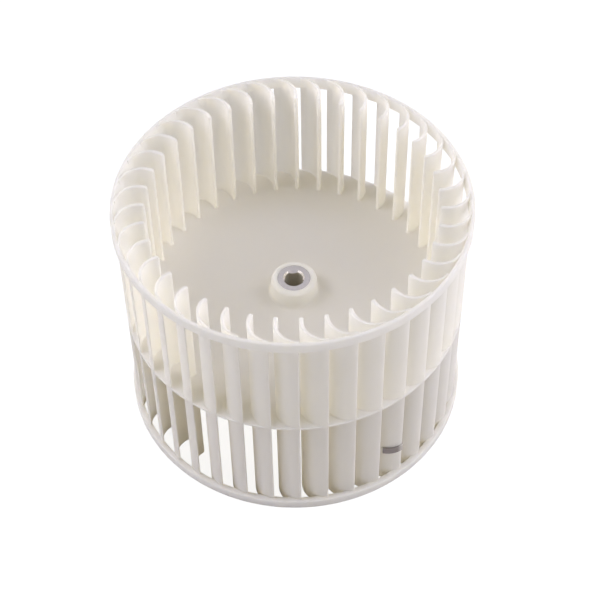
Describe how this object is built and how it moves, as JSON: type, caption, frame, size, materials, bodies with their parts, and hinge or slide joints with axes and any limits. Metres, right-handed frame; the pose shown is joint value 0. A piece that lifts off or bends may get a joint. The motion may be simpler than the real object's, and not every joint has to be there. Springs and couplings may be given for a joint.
{
  "type": "centrifugal fan wheel",
  "caption": "Double-inlet squirrel-cage blower wheel of milky plastic, with forward-curved blades, a centre disc, a metal bush with a D-shaped bore and a small balance clip.",
  "frame": {"origin": "centre of the lower end face, on the axis of rotation", "axes": "+Z along the axis of rotation, from the lower end face to the upper one; the camera of the picture looks from -Y"},
  "size_m": [0.15, 0.15, 0.116],
  "materials": {
    "wheel_plastic": "milky white, satin, slightly translucent, as moulded",
    "bush_metal": "machined, light grey",
    "clip_steel": "grey spring steel, rolled"
  },
  "bodies": {
    "root": {"fan_wheel": "wheel_plastic", "hub_insert": "bush_metal", "balance_clip": "clip_steel"}
  },
  "joints": []
}
